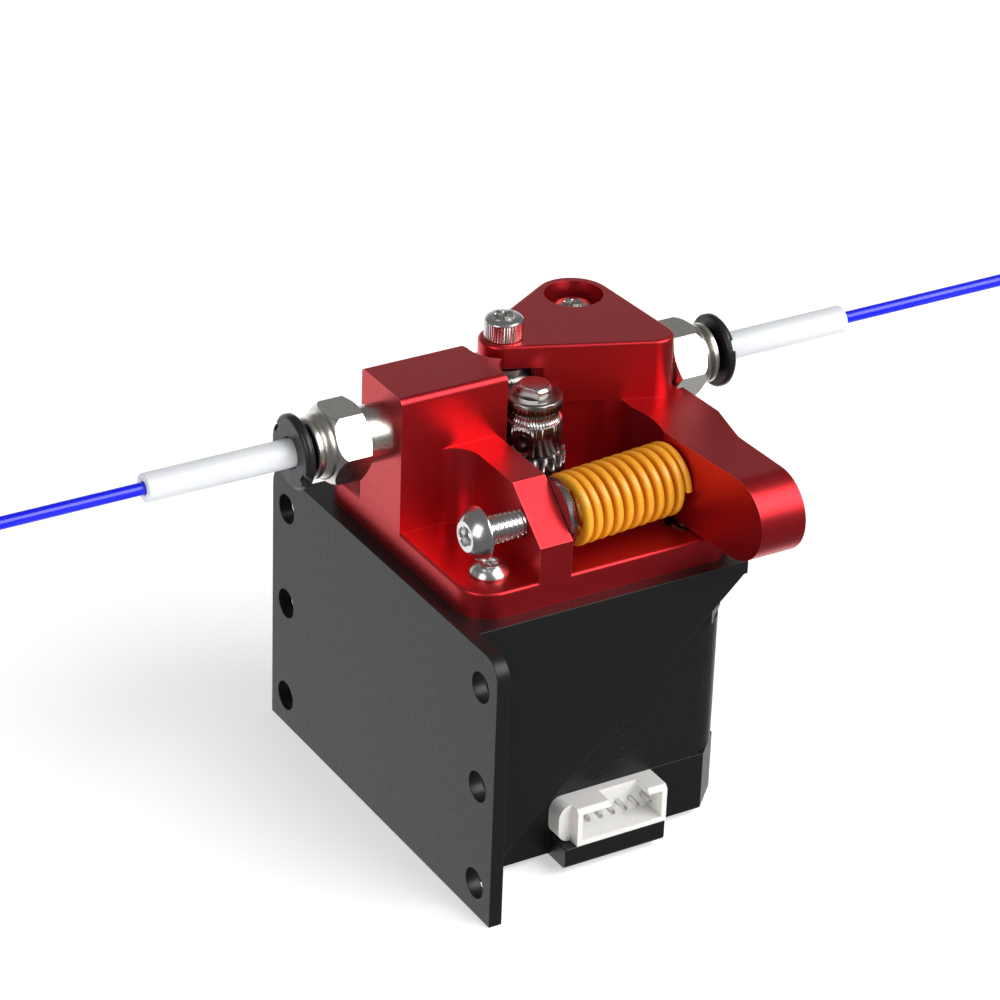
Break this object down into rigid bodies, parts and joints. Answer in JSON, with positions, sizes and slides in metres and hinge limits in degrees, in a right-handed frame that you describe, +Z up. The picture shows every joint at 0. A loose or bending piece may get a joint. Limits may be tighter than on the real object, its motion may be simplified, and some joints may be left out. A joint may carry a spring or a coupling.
{
  "type": "dual gear filament extruder",
  "caption": "Bowden filament extruder: dual drive gears, sprung red lever with thumb arm and push-in tube fittings on a stepper motor and an L-shaped bracket.",
  "frame": {"origin": "centre of the bracket's mounting face, at the middle of its bolt holes", "axes": "+X from the mounting face towards the motor and along the filament's way, +Z up along the motor's shaft, +Y towards the idler's side"},
  "size_m": [0.17, 0.0648, 0.0689],
  "materials": {
    "bracket_paint": "satin black powder coat",
    "motor_paint": "satin black cast caps",
    "stack_paint": "black lacquered lamination stack",
    "red_aluminium": "red anodised, fine matt blast",
    "screw_steel": "bright zinc-plated steel",
    "seat_steel": "plain turned steel",
    "shaft_steel": "ground bright steel",
    "gear_steel": "hardened machined steel",
    "grub_steel": "black oxide steel",
    "bearing_steel": "ground bearing steel",
    "rotor_iron": "ground laminated iron",
    "bush_brass": "turned brass",
    "copper": "enamelled copper winding",
    "pin_metal": "tinned contact pins",
    "connector_nylon": "natural white nylon",
    "fitting_nickel": "nickel-plated brass",
    "grip_steel": "spring steel teeth",
    "seal_rubber": "black nitrile rubber",
    "tube_white": "translucent white fluoropolymer",
    "filament_blue": "blue extruded filament",
    "collet_black": "moulded black acetal",
    "spring_yellow": "yellow-orange painted die spring"
  },
  "bodies": {
    "root": {"bracket": "bracket_paint", "extruder_base": "red_aluminium", "base_screws": "screw_steel", "motor_front_cap": "motor_paint", "motor_stack": "stack_paint", "motor_coils": "copper", "motor_rear_cap": "motor_paint", "motor_bolts": "screw_steel", "motor_front_bearing": "bearing_steel", "motor_rear_bearing": "bearing_steel", "connector_housing": "connector_nylon", "connector_pins": "pin_metal", "pivot_bush": "bush_brass", "pivot_washer": "screw_steel", "pivot_screw": "screw_steel", "input_fitting": "fitting_nickel", "input_grip_ring": "grip_steel", "input_o_ring": "seal_rubber", "input_tube": "tube_white", "input_filament": "filament_blue", "tension_spring": "spring_yellow"},
    "rotor": {"motor_shaft": "shaft_steel", "motor_rotor": "rotor_iron", "drive_gear": "gear_steel", "drive_grub_screw": "grub_steel"},
    "lever": {"lever": "red_aluminium", "idler_axle": "screw_steel", "output_fitting": "fitting_nickel", "output_grip_ring": "grip_steel", "output_o_ring": "seal_rubber", "output_tube": "tube_white", "output_filament": "filament_blue"},
    "idler": {"idler_gear": "gear_steel", "idler_bearing_lower": "bearing_steel", "idler_bearing_upper": "bearing_steel"},
    "input_collet": {"input_collet": "collet_black"},
    "output_collet": {"output_collet": "collet_black"},
    "spring_seat": {"spring_seat": "seat_steel"},
    "tension_screw": {"tension_screw": "screw_steel"}
  },
  "joints": [
    {"name": "motor_spin", "type": "hinge", "parent": "root", "child": "rotor", "pos_m": [0.0234, 0, 0], "axis": [0, 0, 1], "continuous": true},
    {"name": "lever_pivot", "type": "hinge", "parent": "root", "child": "lever", "pos_m": [0.0389, 0.0155, 0], "axis": [0, 0, 1], "range_deg": [-8, 0], "stiffness_Nm_per_rad": 4.2, "springref_deg": 3.44, "deforming": ["tension_spring"]},
    {"name": "idler_spin", "type": "hinge", "parent": "lever", "child": "idler", "pos_m": [0.0234, 0.0085, 0], "axis": [0, 0, 1], "continuous": true},
    {"name": "input_collet_press", "type": "slide", "parent": "root", "child": "input_collet", "axis": [1, 0, 0], "range_m": [0, 0.0007], "stiffness_N_per_m": 500, "springref_m": -0.0004},
    {"name": "output_collet_press", "type": "slide", "parent": "lever", "child": "output_collet", "axis": [-1, 0, 0], "range_m": [0, 0.0007], "stiffness_N_per_m": 500, "springref_m": -0.0004},
    {"name": "seat_advance", "type": "slide", "parent": "root", "child": "spring_seat", "axis": [1, 0, 0], "range_m": [0, 0.0035], "deforming": ["tension_spring"]},
    {"name": "tension_turn", "type": "hinge", "parent": "spring_seat", "child": "tension_screw", "pos_m": [0, -0.0155, 0.0312], "axis": [1, 0, 0], "range_deg": [0, 1800]}
  ],
  "couplings": [
    {"joint": "idler_spin", "follows": "motor_spin", "ratio": -1},
    {"joint": "tension_turn", "follows": "seat_advance", "rad_per_m": 8976}
  ]
}
